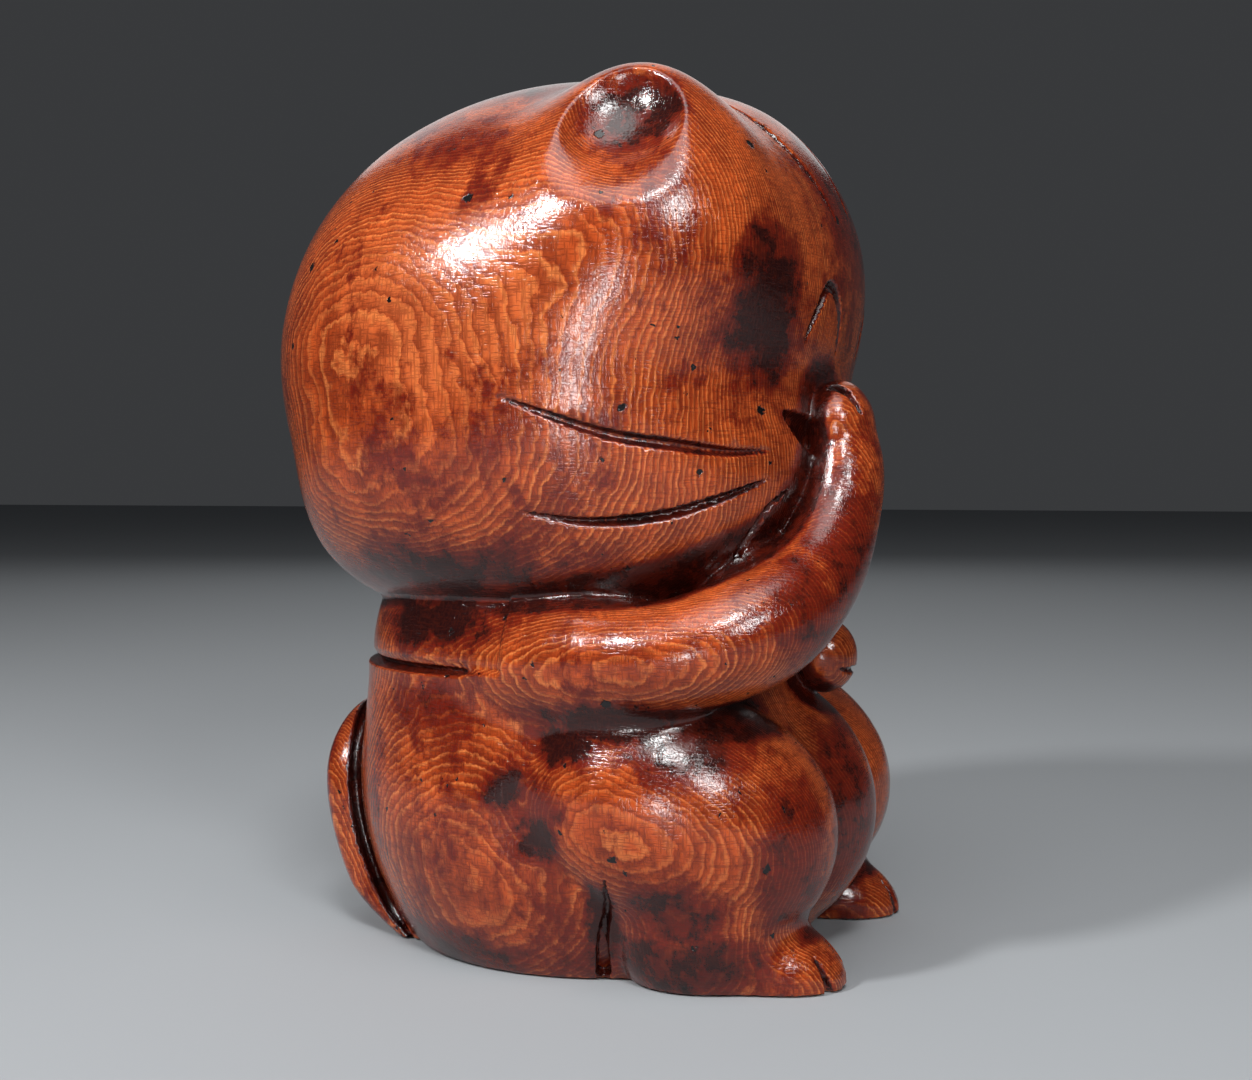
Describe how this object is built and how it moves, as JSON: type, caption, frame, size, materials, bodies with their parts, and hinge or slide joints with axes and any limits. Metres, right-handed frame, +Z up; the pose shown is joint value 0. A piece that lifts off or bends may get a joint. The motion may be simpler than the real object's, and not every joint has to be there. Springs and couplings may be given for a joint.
{
  "type": "lucky cat figurine",
  "caption": "Hand-carved wooden lucky cat, sitting and laughing, one paw raised before the mouth, with a bell under the chin and a broad tail up the back.",
  "frame": {"origin": "middle of the flat underside, on the plane that splits the cat's body into left and right", "axes": "+Z up from the underside to the crown, -Y where the cat looks, -X towards its raised right arm"},
  "size_m": [0.0924, 0.1018, 0.1401],
  "materials": {
    "varnished_wood": "stained reddish brown under glossy clear varnish"
  },
  "bodies": {
    "root": {"carved_cat": "varnished_wood"}
  },
  "joints": []
}
